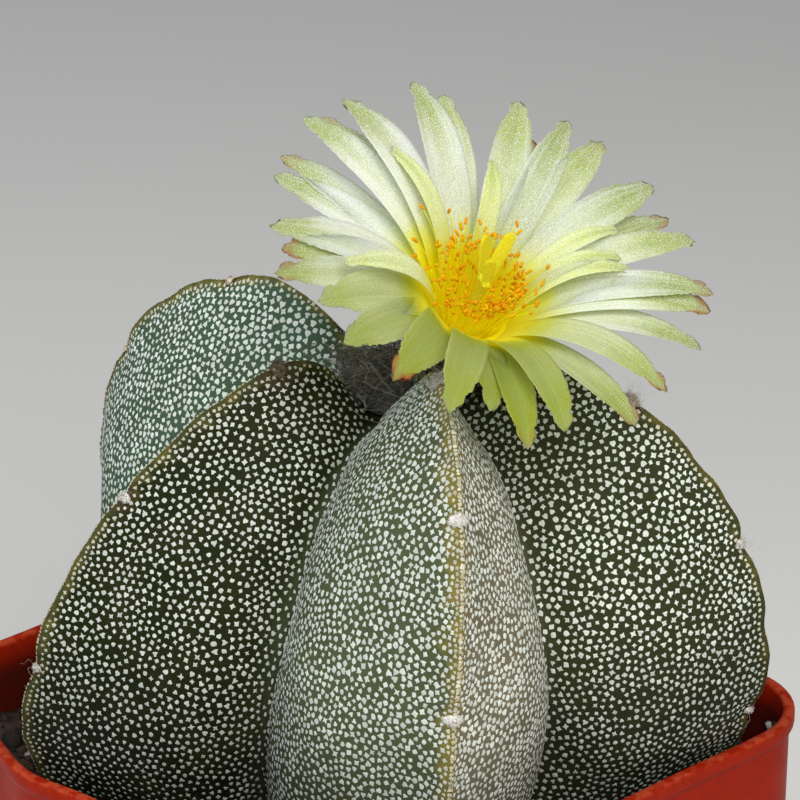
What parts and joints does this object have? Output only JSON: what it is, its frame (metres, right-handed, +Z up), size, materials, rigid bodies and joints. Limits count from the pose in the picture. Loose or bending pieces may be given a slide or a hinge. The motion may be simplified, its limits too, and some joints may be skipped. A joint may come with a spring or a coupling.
{
  "type": "potted astrophytum cactus",
  "caption": "Ribbed, white-flecked bishop's-cap cactus with an open pale yellow flower, growing in a square plastic nursery pot.",
  "frame": {"origin": "the middle of the pot's underside", "axes": "X and Y run along the pot's walls and +Z points up; the flower leans towards -Y"},
  "size_m": [0.0842, 0.0875, 0.1491],
  "materials": {
    "pot_plastic": "orange-red moulded plastic, satin, with fine scuffs",
    "growing_mix": "dark gritty mix, matt",
    "cactus_skin": "dark green waxy skin crowded with small white woolly flecks, with a brown edge along each rib",
    "crown_wool": "tangled grey-brown plant wool",
    "flower_tube": "green-brown with papery scales and dark hairs",
    "petals": "satin lemon petals, silvery in the middle and yellow at the root",
    "stamens": "yellow filaments with orange pollen",
    "pistil": "yellow, softly matt"
  },
  "bodies": {
    "root": {"pot": "pot_plastic", "growing_mix": "growing_mix", "cactus_body": "cactus_skin", "crown_wool": "crown_wool", "flower_tube": "flower_tube", "petals": "petals", "stamens": "stamens", "pistil": "pistil"}
  },
  "joints": []
}
